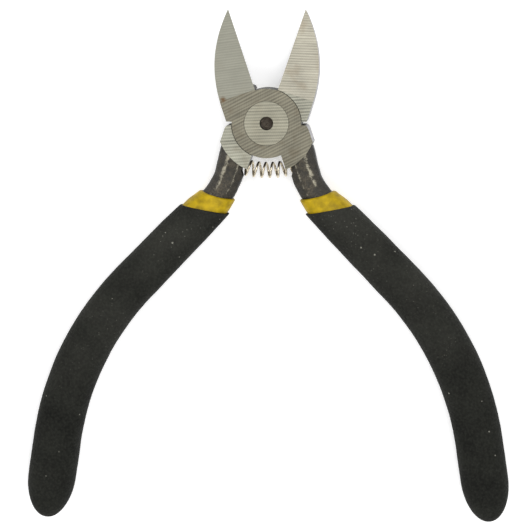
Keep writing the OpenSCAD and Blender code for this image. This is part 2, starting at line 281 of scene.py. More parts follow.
class MeshTools:
    SOFT_LIMIT = math.radians(35.0)
    HARD_LIMIT = math.radians(10.0)

    @staticmethod
    def from_data(name: str, points: Sequence[Vector], faces: Sequence[Sequence[int]]) -> Object:
        """Makes an object from points and faces.

        Args:
            name: The object's name.
            points: Its vertices.
            faces: Its faces, as lists of vertex numbers.

        Returns:
            The new object, linked to the scene.
        """
        mesh = bpy.data.meshes.new(name)
        mesh.from_pydata([tuple(p) for p in points], [], [tuple(f) for f in faces])
        mesh.validate()
        obj = bpy.data.objects.new(name, mesh)
        bpy.context.scene.collection.objects.link(obj)
        return obj

    @staticmethod
    def prism(name: str, outline: Sequence[Point2], low: float, high: float) -> Object:
        """Extrudes an anticlockwise outline from low to high.

        Args:
            name: The object's name.
            outline: Corner points of the outline.
            low: Height of its underside.
            high: Height of its top.

        Returns:
            A closed prism.
        """
        n = len(outline)
        points = [Vector((x, y, low)) for x, y in outline] + [Vector((x, y, high)) for x, y in outline]
        faces: list[list[int]] = [list(range(n - 1, -1, -1)), list(range(n, 2 * n))]
        faces += [[i, (i + 1) % n, n + (i + 1) % n, n + i] for i in range(n)]
        return MeshTools.from_data(name, points, faces)

    @staticmethod
    def circle(radius: float, height: float, sides: int = 128) -> Ring:
        """Points of a circle about the pivot axis, anticlockwise from above."""
        turns = [math.tau * i / sides for i in range(sides)]
        return [Vector((radius * math.cos(t), radius * math.sin(t), height)) for t in turns]

    @staticmethod
    def disc(name: str, radius: float, low: float, high: float, sides: int = 128) -> Object:
        """Makes a round disc about the pivot axis."""
        outline = [(point.x, point.y) for point in MeshTools.circle(radius, 0.0, sides)]
        return MeshTools.prism(name, outline, low, high)

    @staticmethod
    def skin(rings: Sequence[Ring], outward: bool, first: int) -> list[list[int]]:
        """Joins rings of equal length with quads.

        Args:
            rings: Rings of points, each anticlockwise seen from the far end.
            outward: Whether the walls face away from the rings' middle.
            first: Number of the first ring's first vertex.

        Returns:
            The faces, as lists of vertex numbers.
        """
        n = len(rings[0])
        faces: list[list[int]] = []
        for i in range(len(rings) - 1):
            a, b = first + i * n, first + (i + 1) * n
            for j in range(n):
                k = (j + 1) % n
                faces.append([a + j, a + k, b + k, b + j] if outward else [a + j, b + j, b + k, a + k])
        return faces

    @staticmethod
    def bar(name: str, rings: Sequence[Ring]) -> Object:
        """Makes a solid bar through rings, with flat ends.

        Args:
            name: The object's name.
            rings: Rings of points, each anticlockwise seen from the far end.

        Returns:
            A closed bar.
        """
        n = len(rings[0])
        last = (len(rings) - 1) * n
        faces = MeshTools.skin(rings, True, 0)
        faces += [list(range(n - 1, -1, -1)), list(range(last, last + n))]
        return MeshTools.from_data(name, [p for ring in rings for p in ring], faces)

    @staticmethod
    def closed_shell(name: str, rings: Sequence[Ring]) -> Object:
        """Makes a shell from rings that run down the outside, over the rim's far side and back inside.

        Args:
            name: The object's name.
            rings: Rings from the outer pole round the rim to the inner pole, all of equal length.

        Returns:
            A closed shell whose two poles are single points.
        """
        n = len(rings[0])
        points = [p for ring in rings for p in ring]
        faces = MeshTools.skin(rings, False, 0)
        ends = ((0, rings[0], False), ((len(rings) - 1) * n, rings[-1], True))
        for first, ring, far_end in ends:
            pole = len(points)
            points.append(sum(ring, Vector()) / n)
            for j in range(n):
                k = (j + 1) % n
                faces.append([first + k, first + j, pole] if far_end else [first + j, first + k, pole])
        return MeshTools.from_data(name, points, faces)

    @staticmethod
    def move(obj: Object, matrix: Matrix) -> Object:
        """Applies a matrix to the mesh itself."""
        obj.data.transform(matrix)
        return obj

    @staticmethod
    def combine(obj: Object, tool: Object, operation: str) -> None:
        """Joins a tool to obj, or cuts it away, and removes the tool.

        Args:
            obj: The object that changes.
            tool: The object that is used up.
            operation: UNION or DIFFERENCE.
        """
        modifier = obj.modifiers.new("combine", "BOOLEAN")
        modifier.operation = operation
        modifier.solver = "EXACT"
        modifier.object = tool
        MeshTools.apply_modifiers(obj)
        bpy.data.objects.remove(tool)

    @staticmethod
    def apply_modifiers(obj: Object) -> None:
        """Replaces the mesh with what its modifiers make of it.

        Args:
            obj: The object.
        """
        bpy.context.view_layer.update()
        graph = bpy.context.evaluated_depsgraph_get()
        mesh = bpy.data.meshes.new_from_object(obj.evaluated_get(graph))
        obj.modifiers.clear()
        old = obj.data
        obj.data = mesh
        bpy.data.meshes.remove(old)

    @staticmethod
    def weigh_normals(obj: Object, rounded: Sequence[int]) -> None:
        """Keeps flat faces flat beside rounded edges, and marks the unrounded edges sharp.

        Args:
            obj: The object.
            rounded: Material numbers of its rounded faces.
        """
        bm = bmesh.new()
        bm.from_mesh(obj.data)
        for edge in bm.edges:
            soft = any(face.material_index in rounded for face in edge.link_faces)
            limit = MeshTools.SOFT_LIMIT if soft else MeshTools.HARD_LIMIT
            edge.smooth = edge.calc_face_angle(0.0) < limit
        bm.to_mesh(obj.data)
        bm.free()
        obj.modifiers.new("weights", "WEIGHTED_NORMAL").keep_sharp = True
        MeshTools.apply_modifiers(obj)
        MeshTools.store_level(obj)

    @staticmethod
    def store_level(obj: Object) -> None:
        """Stores how level the surface lies as an attribute: 1 facing straight up or down, 0 upright; the
        forged finish paints shade on upright faces from it.
        """
        normals = [abs(normal.vector.z) for normal in obj.data.corner_normals]
        obj.data.attributes.new("level", "FLOAT", "CORNER").data.foreach_set("value", normals)

    @staticmethod
    def finish(obj: Object, matrix: Matrix) -> None:
        """Places a mesh drawn in millimetres, turns its faces outwards and shades it smoothly.

        Args:
            obj: The object, whose mesh is in millimetres.
            matrix: Its placement in millimetres, which may mirror it.
        """
        obj.data.transform(Matrix.Scale(MM, 4) @ matrix)
        if matrix.determinant() < 0:
            obj.data.flip_normals()
        for polygon in obj.data.polygons:
            polygon.use_smooth = True
        obj.data.update()


# ---------------------------------------------------------------------------------------------
# The handle's centreline and sections
# ---------------------------------------------------------------------------------------------


@dataclass(frozen=True)
class HandlePath:
    """Centreline of a handle, drawn shut: straight neck, flare, straight run, bow and tail."""

    head: HeadSize
    size: HandleSize

    @property
    def stops(self) -> tuple[float, float, float, float, float]:
        """Distances along the handle at which its five stretches end.

        Returns:
            The five distances.
        """
        size = self.size
        flare = size.neck_len
        straight = flare + size.flare_r * math.radians(size.flare_angle)
        bow = straight + size.straight_len
        tail = bow + size.bow_r * math.radians(size.bow_angle)
        return flare, straight, bow, tail, tail + size.tail_len

    @property
    def end(self) -> float:
        """Distance along the handle to the end of the grip."""
        return self.stops[4]

    def heading(self, s: float) -> float:
        """Angle of the handle at a distance along it.

        Args:
            s: The distance.

        Returns:
            Radians, turned from -Y towards +X.
        """
        flare, straight, bow, tail, _ = self.stops
        full = math.radians(self.size.flare_angle)
        turned = min(max(s - flare, 0.0), straight - flare) / self.size.flare_r
        bowed = min(max(s - bow, 0.0), tail - bow) / self.size.bow_r
        return min(turned, full) - bowed

    def centre(self, s: float) -> tuple[float, float]:
        """Place of the centreline at a distance along it.

        Args:
            s: The distance.

        Returns:
            X and Y.
        """
        flare, straight, bow, tail, _ = self.stops
        angle = self.heading(s)
        x = self.head.neck_x
        y = -self.head.neck_root_y - min(s, flare)
        if s > flare:
            turned = self.heading(min(s, straight))
            x += self.size.flare_r * (1.0 - math.cos(turned))
            y -= self.size.flare_r * math.sin(turned)
        if s > straight:
            run = min(s, bow) - straight
            full = math.radians(self.size.flare_angle)
            x += run * math.sin(full)
            y -= run * math.cos(full)
        if s > bow:
            full = math.radians(self.size.flare_angle)
            turned = self.heading(min(s, tail))
            x += self.size.bow_r * (math.cos(turned) - math.cos(full))
            y += self.size.bow_r * (math.sin(turned) - math.sin(full))
        if s > tail:
            x += (s - tail) * math.sin(angle)
            y -= (s - tail) * math.cos(angle)
        return x, y

    def place(self, s: float, across: float, up: float) -> Vector:
        """Point of a section.

        Args:
            s: Distance along the handle.
            across: Distance from the centreline, outwards.
            up: Height.

        Returns:
            The point, drawn shut.
        """
        x, y = self.centre(s)
        angle = self.heading(s)
        return Vector((x + across * math.cos(angle), y + across * math.sin(angle), up))

    def tang_size(self, s: float) -> tuple[float, float]:
        """Size of the steel's section.

        Args:
            s: Distance along the handle.

        Returns:
            Width and thickness.
        """
        share = smooth(s, 0.0, self.size.taper_len)
        root_t = self.head.thickness - 2 * self.head.neck_drop
        return mix(self.head.neck_root_w, self.size.tang_w, share), mix(root_t, self.size.tang_t, share)


@dataclass(frozen=True)
class TangSection:
    """Eight-sided forged section with rounded corners."""

    size: HandleSize
    steps: int = 4

    def points(self, width: float, thickness: float) -> list[Point2]:
        """Outline of the section.

        Args:
            width: Width across the flats.
            thickness: Thickness across the flats.

        Returns:
            Points in anticlockwise order, from the lower right corner.
        """
        half_w = width / 2
        half_t = thickness / 2
        half_flat = self.size.neck_flat / 2
        half_side = half_t - (half_w - half_flat) * self.size.chamfer_slope
        quarter = [(half_w, half_side), (half_flat, half_t)]
        mirrored = [(-x, z) for x, z in reversed(quarter)]
        lower = [(-x, -z) for x, z in quarter] + [(-x, -z) for x, z in mirrored]
        corners = [Vector(p) for p in quarter + mirrored + lower]
        outline: list[Point2] = []
        for i, corner in enumerate(corners):
            before = (corners[i - 1] - corner).normalized()
            after = (corners[(i + 1) % len(corners)] - corner).normalized()
            start = corner + before * self.size.corner_round
            end = corner + after * self.size.corner_round
            outline += round_corner(start, corner, end, self.steps)
        return outline


# ---------------------------------------------------------------------------------------------
# Steel halves
# ---------------------------------------------------------------------------------------------


@dataclass(frozen=True)
class Streaks:
    """Where the forged skin is worn bright, in millimetres across the neck and along it."""

    wide_at: float = 1.5
    wide_w: float = 0.65
    thin_at: float = -1.75
    thin_w: float = 0.4
    thin_share: float = 0.8
    fade_from: float = 6.0
    fade_to: float = 14.0
    faded: float = 0.5
    side_height: float = 1.0
    side_share: float = 0.3


class SteelZone(Enum):
    """Surfaces of a half that are finished differently, in slot order."""

    JOINT_FACE = 0
    BLADE_FACE = 1
    SIDE_WALL = 2
    FORGED_SKIN = 3
    WORN_EDGE = 4
    BACK_FACE = 5


@dataclass
class ForgedHalf:
    """One forging: blade, round lap, shoulder, neck and tang."""

    lap: Lap
    head: HeadSize
    path: HandlePath
    rivet: RivetSize
    spring: SpringSize
    edge_round: float = 0.13
    forge_waviness: float = 0.05
    back_steps: int = 40
    arc_steps: int = 24
    corner_steps: int = 6
    neck_steps: int = 60
    fine_step: float = 0.35
    station_step: float = 0.5
    station_count: int = 34
    far: float = 60.0
    deep: float = 20.0
    level: float = 0.995
    facing: float = 0.7
    margin: float = 0.05
    blade_side: float = 0.5
    streaks: Streaks = Streaks()
    weld: float = 0.02
    flat_angle: float = math.radians(0.4)
    hard_angle: float = math.radians(32)
    tiny: float = 0.003
    near_skin: float = 0.02
    worn_until: float = 40.0

    @property
    def layer(self) -> tuple[float, float]:
        """Heights between which this half's lap lies."""
        gap = self.head.running_gap / 2
        return (gap, self.head.half_t) if self.lap is Lap.FRONT else (-self.head.half_t, -gap)

    @cached_property
    def stations(self) -> list[tuple[float, float, float]]:
        """Places along the bare neck: distance, x and y."""
        distances = [self.station_step * i for i in range(self.station_count)]
        return [(s, *self.path.centre(s)) for s in distances]

    @property
    def placement(self) -> Matrix:
        """Placement of the shut drawing in the rest pose.

        Returns:
            The placement, in millimetres.
        """
        lift = Matrix.Translation((0, 0, self.head.half_t))
        turn = Matrix.Rotation(math.radians(self.head.open_half) * self.lap.value, 4, "Z")
        side = Matrix.Identity(4) if self.lap is Lap.FRONT else Matrix.Scale(-1, 4, (1, 0, 0))
        return lift @ turn @ side

    def blade_outline(self) -> list[Point2]:
        """Outline of the blade and heel, anticlockwise.

        Returns:
            The outline, drawn shut.
        """
        head = self.head
        rise = head.blade_reach - head.blade_waist_y
        slope = math.tan(math.radians(head.stop_angle))
        points = [(-head.edge_gap, head.edge_gap * slope), (-head.edge_gap, head.blade_reach)]
        for i in range(self.back_steps - 1, -1, -1):
            share = i / self.back_steps
            x = -head.edge_gap - (head.blade_w - head.edge_gap) * (1 - share**head.blade_curve)
            points.append((x, head.blade_waist_y + rise * share))
        points.append((-head.blade_w, head.blade_w * slope))
        return points

    def shoulder_outline(self) -> list[Point2]:
        """Outline of the shoulder, whose lower end is an arc about the pivot, anticlockwise.

        Returns:
            The outline, drawn shut.
        """
        head = self.head
        slope = math.tan(math.radians(head.stop_angle))
        low = math.asin(head.shoulder_in_x / head.face_r)
        high = math.asin(head.shoulder_out_x / head.face_r)
        points: list[Point2] = [(head.shoulder_in_x, -head.shoulder_in_x * slope)]
        for i in range(self.arc_steps + 1):
            angle = mix(low, high, i / self.arc_steps)
            points.append((head.face_r * math.sin(angle), -head.face_r * math.cos(angle)))
        corner = Vector((head.shoulder_out_x, -head.shoulder_out_x * slope))
        down = corner + Vector((0, -head.shoulder_round))
        inward = corner - corner.normalized() * head.shoulder_round
        return points + round_corner(down, corner, inward, self.corner_steps)

    def grind_blade(self, blade: Object) -> None:
        """Cuts the two tapering faces and the sharpened bevel.

        Args:
            blade: The blade's prism.
        """
        head = self.head
        rise = head.blade_reach - head.crease_y
        front_z = head.half_t - head.crease_step
        front_slope = math.atan((head.tip_drop - head.crease_step) / rise)
        back_slope = math.atan((head.thickness - head.tip_drop - head.tip_t) / rise)
        tilt = Matrix.Rotation(-front_slope, 4, "X")
        lean = Matrix.Rotation(back_slope, 4, "X")
        roll = Matrix.Rotation(math.radians(90.0 - head.edge_angle), 4, "Y")
        far = self.far
        block = [(-far, 0.0), (far, 0.0), (far, far), (-far, far)]
        wedge = [(0.0, head.heel_len), (far, head.heel_len), (far, far), (0.0, far)]
        for name, outline, low, high, start, turn in (
            ("front_grind", block, 0.0, far, (0, head.crease_y, front_z), tilt),
            ("back_grind", block, -far, 0.0, (0, head.crease_y, -head.half_t), lean),
            ("edge_bevel", wedge, -far, 0.0, (-head.edge_gap, head.crease_y, front_z), tilt @ roll),
        ):
            tool = MeshTools.prism(name, outline, low, high)
            MeshTools.move(tool, Matrix.Translation(start) @ turn)
            MeshTools.combine(blade, tool, "DIFFERENCE")

    def neck(self) -> Object:
        """Makes the forged neck and tang, slightly wavy as forgings are.

        Returns:
            A closed bar, drawn shut.
        """
        section = TangSection(self.path.size)
        end = self.path.end - self.path.size.tang_inset
        stops = [self.fine_step * i for i in range(self.neck_steps)]
        stops += [mix(stops[-1], end, (i + 1) / self.neck_steps) for i in range(self.neck_steps)]
        rings: list[Ring] = []
        for s in stops:
            width, thickness = self.path.tang_size(s)
            ring: Ring = []
            for x, z in section.points(width, thickness):
                point = self.path.place(s, x, z)
                wave = noise.noise(point * 0.45 + Vector((0, 0, 9.0 * self.lap.value)))
                scale = 1.0 + self.forge_waviness * wave * smooth(s, 2.5, 6.0)
                ring.append(self.path.place(s, x * scale, z * scale))
            rings.append(ring)
        return MeshTools.bar("neck", rings)

    def cut_rivet_seat(self, half: Object) -> None:
        """Cuts the rivet's bore and its seat, a running fit in front and a tight one behind.

        Args:
            half: The half to cut.
        """
        rivet, head = self.rivet, self.head
        top, deep = head.half_t, self.deep
        gap = head.running_gap if self.lap is Lap.FRONT else 0.0
        MeshTools.combine(half, MeshTools.disc("bore", rivet.shank_r + gap, -deep, deep), "DIFFERENCE")
        if self.lap is Lap.FRONT:
            seat = MeshTools.disc("seat", rivet.head_r + gap, top - rivet.head_t - gap, deep)
        else:
            slope = (rivet.back_r - rivet.shank_r) / rivet.back_t
            reach = rivet.back_t + 0.5
            cone = ((rivet.back_r, -deep), (rivet.back_r, -top), (rivet.back_r - reach * slope, -top + reach))
            seat = MeshTools.bar("seat", [MeshTools.circle(radius, height) for radius, height in cone])
        MeshTools.combine(half, seat, "DIFFERENCE")

    def pocket(self) -> Object:
        """Makes the cutter for the blind pocket that holds the spring's end.

        Returns:
            A closed disc on its side, drawn shut.
        """
        head, spring = self.head, self.spring
        radius = spring.coil_d / 2 + spring.pocket_clear
        depth = head.hollow_r + spring.clear + spring.coil_d / 2
        cutter = MeshTools.disc("pocket", radius, -spring.clear, spring.pocket_depth, spring.pocket_sides)
        turn = Matrix.Rotation(math.pi / 2, 4, "Y")
        return MeshTools.move(cutter, Matrix.Translation((head.shoulder_in_x, -depth, 0)) @ turn)

    def solid(self) -> Object:
        """Joins the blade, lap, shoulder and neck, and cuts what the joint needs.

        Returns:
            The half, drawn shut, with its edges still sharp.
        """
        head = self.head
        name = f"{self.lap.name.lower()}_half_steel"
        half = MeshTools.prism(name, list(reversed(self.blade_outline())), -head.half_t, head.half_t)
        self.grind_blade(half)
        shoulder = MeshTools.prism("shoulder", self.shoulder_outline(), -head.half_t, head.half_t)
        MeshTools.combine(half, shoulder, "UNION")
        MeshTools.combine(half, self.neck(), "UNION")
        far = head.half_t + 1.0
        low, high = (-far, -head.running_gap / 2) if self.lap is Lap.FRONT else (head.running_gap / 2, far)
        MeshTools.combine(half, MeshTools.disc("hollow", head.hollow_r, low, high), "DIFFERENCE")
        MeshTools.combine(half, MeshTools.disc("lap", head.joint_r, *self.layer), "UNION")
        self.cut_rivet_seat(half)
        MeshTools.combine(half, self.pocket(), "DIFFERENCE")
        return half

    def on_cutting_edge(self, point: Vector) -> bool:
        """Whether a point, drawn shut, lies on the sharpened edge or the tip."""
        head = self.head
        return point.x > -0.25 and point.y > head.crease_y + head.heel_len - 0.2

    def round_edges(self, half: Object) -> None:
        """Cleans the joined mesh and gives every hard outer edge a small round, except the sharp one.

        Args:
            half: The half, drawn shut.
        """
        bm = bmesh.new()
        bm.from_mesh(half.data)
        bmesh.ops.remove_doubles(bm, verts=bm.verts, dist=self.weld)
        flat = [e for e in bm.edges if len(e.link_faces) == 2]
        bmesh.ops.dissolve_limit(
            bm, angle_limit=self.flat_angle, use_dissolve_boundaries=False, verts=bm.verts, edges=flat
        )
        bm.normal_update()
        sharp = [
            e
            for e in bm.edges
            if e.is_manifold
            and e.is_convex
            and e.calc_face_angle(0.0) > self.hard_angle
            and not all(self.on_cutting_edge(v.co) for v in e.verts)
        ]
        bmesh.ops.bevel(
            bm,
            geom=sharp,
            offset=self.edge_round,
            segments=2,
            profile=0.6,
            affect="EDGES",
            clamp_overlap=True,
            material=SteelZone.WORN_EDGE.value,
        )
        bmesh.ops.remove_doubles(bm, verts=bm.verts, dist=self.tiny)
        bmesh.ops.dissolve_degenerate(bm, dist=self.tiny, edges=bm.edges)
        bm.to_mesh(half.data)
        bm.free()

    def zone(self, centre: Vector, normal: Vector) -> SteelZone:
        """Tells which finish a face has.

        Args:
            centre: The face's centre, drawn shut.
            normal: Its normal.

        Returns:
            The zone it belongs to.
        """
        head = self.head
        radius = math.hypot(centre.x, centre.y)
        if centre.y < -head.crease_margin and radius > head.face_r - self.near_skin and normal.z < self.level:
            return SteelZone.FORGED_SKIN
        if centre.y < -head.neck_root_y and radius > head.face_r + self.margin:
            return SteelZone.FORGED_SKIN
        if normal.z > self.facing:
            beyond = centre.y > head.crease_y - self.margin and centre.x < self.blade_side
            return SteelZone.BLADE_FACE if beyond else SteelZone.JOINT_FACE
        if normal.z < -self.facing:
            return SteelZone.BACK_FACE
        # Upright walls about the joint take the forged skin, whose upright faces carry the painted shade.
        in_joint = radius < head.blade_w + 0.4 and centre.y < head.crease_y + head.heel_len
        return SteelZone.FORGED_SKIN if in_joint else SteelZone.SIDE_WALL

    def wear_at(self, point: Vector) -> float:
        """How worn the forged skin is: along both edges of its top flat.

        Args:
            point: A point of the skin, drawn shut.

        Returns:
            0 where it is whole, up to 1 where it is bright.
        """
        near, x, y = min(self.stations, key=lambda station: math.dist(station[1:], point.xy))
        angle = self.path.heading(near)
        across = (point.x - x) * math.cos(angle) + (point.y - y) * math.sin(angle)
        streaks = self.streaks
        wide = math.exp(-(((across - streaks.wide_at) / streaks.wide_w) ** 2))
        thin = streaks.thin_share * math.exp(-(((across - streaks.thin_at) / streaks.thin_w) ** 2))
        fade = 1.0 - streaks.faded * smooth(near, streaks.fade_from, streaks.fade_to)
        side = 1.0 if abs(point.z) > streaks.side_height else streaks.side_share
        return max(wide, thin) * fade * side

    def mark(self, half: Object) -> None:
        """Sorts the faces into zones and stores the wear of the forged skin.

        Args:
            half: The half, drawn shut.
        """
        mesh = half.data
        mesh.materials.clear()
        for zone in SteelZone:
            mesh.materials.append(None)
        wear = mesh.attributes.new("wear", "FLOAT", "POINT")
        worn: set[int] = set()
        for polygon in mesh.polygons:
            zone = self.zone(polygon.center, polygon.normal)
            bevel = polygon.material_index == SteelZone.WORN_EDGE.value
            if not (bevel and zone is not SteelZone.FORGED_SKIN):
                polygon.material_index = zone.value
            if zone is SteelZone.FORGED_SKIN:
                worn.update(polygon.vertices)
        for index in worn:
            point = mesh.vertices[index].co
            if point.y > -self.worn_until:
                wear.data[index].value = self.wear_at(point)

    def build(self) -> Object:
        """Builds the finished half.

        Returns:
            The half in the rest pose.
        """
        half = self.solid()
        self.round_edges(half)
        self.mark(half)
        MeshTools.finish(half, self.placement)
        MeshTools.weigh_normals(half, (SteelZone.FORGED_SKIN.value, SteelZone.WORN_EDGE.value))
        return half


# ---------------------------------------------------------------------------------------------
# Rivet
# ---------------------------------------------------------------------------------------------


@dataclass
class Rivet:
    """Flush rivet that the front half turns on."""

    head: HeadSize
    size: RivetSize

    @staticmethod
    def turn(name: str, profile: Sequence[Point2], sides: int = 128) -> Object:
        """Turns a profile of radius and height about the pivot axis.

        Args:
            name: The object's name.
            profile: Points from the bottom of the axis to its top.
            sides: Steps round the axis.

        Returns:
            A closed solid of revolution.
        """
        rings = [MeshTools.circle(radius, height, sides) for radius, height in profile[1:-1]]
        points = [p for ring in rings for p in ring]
        faces = MeshTools.skin(rings, True, 0)
        bottom, top = len(points), len(points) + 1
        points += [Vector((0, 0, profile[0][1])), Vector((0, 0, profile[-1][1]))]
        last = (len(rings) - 1) * sides
        for j in range(sides):
            k = (j + 1) % sides
            faces.append([k, j, bottom])
            faces.append([last + j, last + k, top])
        return MeshTools.from_data(name, points, faces)

    def build(self) -> Object:
        """Builds the rivet.

        Returns:
            The rivet in the rest pose.
        """
        size = self.size
        top = self.head.half_t
        edge = size.edge_round
        profile: list[Point2] = [(0.0, -top)]
        profile += [(size.back_r - edge, -top), (size.back_r, -top + 0.3 * edge)]
        profile += [(size.shank_r, -top + size.back_t), (size.shank_r, top - size.head_t)]
        profile += [(size.head_r - edge, top - size.head_t), (size.head_r, top - size.head_t + edge)]
        profile += [(size.head_r, top - edge), (size.head_r - 0.3 * edge, top - 0.3 * edge)]
        profile += [(size.head_r - edge, top), (size.hole_r + 2 * edge, top)]
        profile += [(size.hole_r + 0.6 * edge, top - 0.6 * edge), (size.hole_r, top - 2 * edge)]
        floor = top - size.hole_depth
        profile += [(size.hole_r, floor + edge), (size.hole_r - edge, floor)]
        profile += [(0.0, floor - size.hole_r / 3)]
        rivet = self.turn("joint_rivet_steel", profile)
        for polygon in rivet.data.polygons:
            centre = polygon.center
            inside = math.hypot(centre.x, centre.y) < size.hole_r + 0.02 and centre.z > 0
            polygon.material_index = 1 if inside else 0
        MeshTools.finish(rivet, Matrix.Translation((0, 0, self.head.half_t)))
        MeshTools.weigh_normals(rivet, (0,))
        return rivet


# ---------------------------------------------------------------------------------------------
# Dipped coats
# ---------------------------------------------------------------------------------------------


@dataclass
class DippedCoats:
    """The yellow undercoat and the black outer grip of one handle."""

    lap: Lap
    path: HandlePath
    size: CoatSize
    placement: Matrix
    sides: int = 64
    ring_step: float = 0.9
    lip_steps: int = 6
    nose_steps: int = 18
    nose_share: float = 0.985
    cavity_share: float = 0.97
    grip_waviness: float = 0.09

    def lean(self, s: float, rim: float, tilt: float) -> float:
        """Shift along the handle, per millimetre across it, that slopes a rim and fades out."""
        fade = 1.0 - smooth(s, rim, rim + self.size.lean_len)
        return math.tan(self.path.heading(rim) - math.radians(tilt)) * fade

    def undercoat_wall(self, s: float) -> float:
        """Thickness of the undercoat at s.

        Args:
            s: Distance along the handle.

        Returns:
            The thickness.
        """
        size = self.size
        share = smooth(s, size.undercoat_start, size.grip_start)
        return mix(size.undercoat_rim_wall, size.undercoat_wall, share)

    def grip_wall(self, s: float) -> float:
        """Thickness of the outer grip at s.

        Args:
            s: Distance along the handle.

        Returns:
            The thickness.
        """
        size = self.size
        share = min(1.0, max(0.0, (s - size.grip_start) / size.grip_taper_len))
        return mix(size.grip_rim_wall, size.grip_wall, math.sqrt(share))

    def oval(self, wall: float, scale: float) -> list[Point2]:
        """Oval section round the tang.

        Args:
            wall: Thickness of everything over the tang.
            scale: Share of the full section.

        Returns:
            The section's points, anticlockwise.
        """
        half_w = (self.path.size.tang_w / 2 + wall) * scale
        half_t = (self.path.size.tang_t / 2 + wall) * scale
        power = 2.0 / self.size.oval_power
        points: list[Point2] = []
        for i in range(self.sides):
            angle = math.tau * i / self.sides
            c, s = math.cos(angle), math.sin(angle)
            x = math.copysign(abs(c) ** power, c) * half_w
            z = math.copysign(abs(s) ** power, s) * half_t
            points.append((x, z))
        return points

    def ring(self, s: float, wall: float, scale: float, rim: float, tilt: float, wave: float) -> Ring:
        """One ring of a coat.

        Args:
            s: Distance along the handle.
            wall: Thickness of everything over the tang.
            scale: Share of the full section, less than 1 in the nose.
            rim: Distance along the handle of the coat's rim.
            tilt: Slope of the rim when shut, in degrees.
            wave: Height of the coat's slight unevenness.

        Returns:
            The ring's points, drawn shut.
        """
        lean = self.lean(s, rim, tilt)
        points: Ring = []
        for x, z in self.oval(wall, scale):
            place = self.path.place(s + lean * x, x, z)
            seed = Vector((0, 0, 20.0 * self.lap.value))
            bump = wave * noise.noise(place * 0.16 + seed) + 0.35 * wave * noise.noise(place * 0.6 + seed)
            length = max(math.hypot(x, z), 0.01)
            factor = 1.0 + bump * scale / length
            points.append(self.path.place(s + lean * x, x * factor, z * factor))
        return points

    def shell(
        self, name: str, rim: float, tilt: float, outer: Wall, inner: Wall, last: float, cavity_end: float,
        wave: float,
    ) -> Object:
        """Builds a sleeve with a rounded rim, a rounded nose and a matching cavity.

        Args:
            name: The object's name.
            rim: Distance along the handle of its rim.
            tilt: Slope of the rim when shut, in degrees.
            outer: Thickness over the tang of its outside, at s.
            inner: Thickness over the tang of its inside, at s.
            last: Distance along the handle of its nose.
            cavity_end: Distance along the handle of its cavity's end.
            wave: Height of its outside's unevenness.

        Returns:
            The finished coat in the rest pose.
        """
        nose = self.size.nose_len - (self.path.end - last)
        cavity_nose = self.size.nose_len - (self.path.end - cavity_end)
        rings: list[Ring] = []
        for i in range(self.nose_steps, 0, -1):
            angle = math.pi / 2 * min(i / self.nose_steps, self.nose_share)
            s = last - nose + nose * math.sin(angle)
            rings.append(self.ring(s, outer(s), math.cos(angle), rim, tilt, wave))
        lip = 0.8 * (outer(rim) - inner(rim))
        count = math.ceil((last - nose - rim - lip) / self.ring_step)
        for i in range(count + 1):
            s = mix(last - nose, rim + lip, i / count)
            rings.append(self.ring(s, outer(s), 1.0, rim, tilt, wave * smooth(s, rim, rim + 8.0)))
        for i in range(1, self.lip_steps + 1):
            angle = math.pi / 2 * i / self.lip_steps
            s = rim + lip - lip * math.sin(angle)
            wall = inner(rim) + (outer(rim + lip) - inner(rim)) * math.cos(angle)
            rings.append(self.ring(s, wall, 1.0, rim, tilt, 0.0))
        count = math.ceil((cavity_end - cavity_nose - rim) / (4 * self.ring_step))
        for i in range(1, count + 1):
            s = mix(rim, cavity_end - cavity_nose, i / count)
            rings.append(self.ring(s, inner(s), 1.0, rim, tilt, 0.0))
        for i in range(1, self.lip_steps + 1):
            angle = math.pi / 2 * min(i / self.lip_steps, self.cavity_share)
            s = cavity_end - cavity_nose + cavity_nose * math.sin(angle)
            rings.append(self.ring(s, inner(s), math.cos(angle), rim, tilt, 0.0))
        coat = MeshTools.closed_shell(name, rings)
        MeshTools.finish(coat, self.placement)
        return coat

    def build_undercoat(self) -> Object:
        """Builds the yellow coat.

        Returns:
            The coat in the rest pose.
        """
        size = self.size
        return self.shell(
            f"{self.lap.name.lower()}_undercoat_vinyl",
            size.undercoat_start,
            size.undercoat_tilt,
            self.undercoat_wall,
            lambda s: size.bond_gap,
            self.path.end - size.grip_wall,
            self.path.end - self.path.size.tang_inset + size.bond_gap,
            0.0,
        )

    def build_grip(self) -> Object:
        """Builds the black coat.

        Returns:
            The coat in the rest pose.
        """
        size = self.size
        return self.shell(
            f"{self.lap.name.lower()}_grip_vinyl",
            size.grip_start,
            size.grip_tilt,
            lambda s: self.undercoat_wall(s) + self.grip_wall(s),
            lambda s: self.undercoat_wall(s) + size.bond_gap,
            self.path.end,
            self.path.end - size.grip_wall + size.bond_gap,
            self.grip_waviness,
        )


# ---------------------------------------------------------------------------------------------
# Node trees
# ---------------------------------------------------------------------------------------------


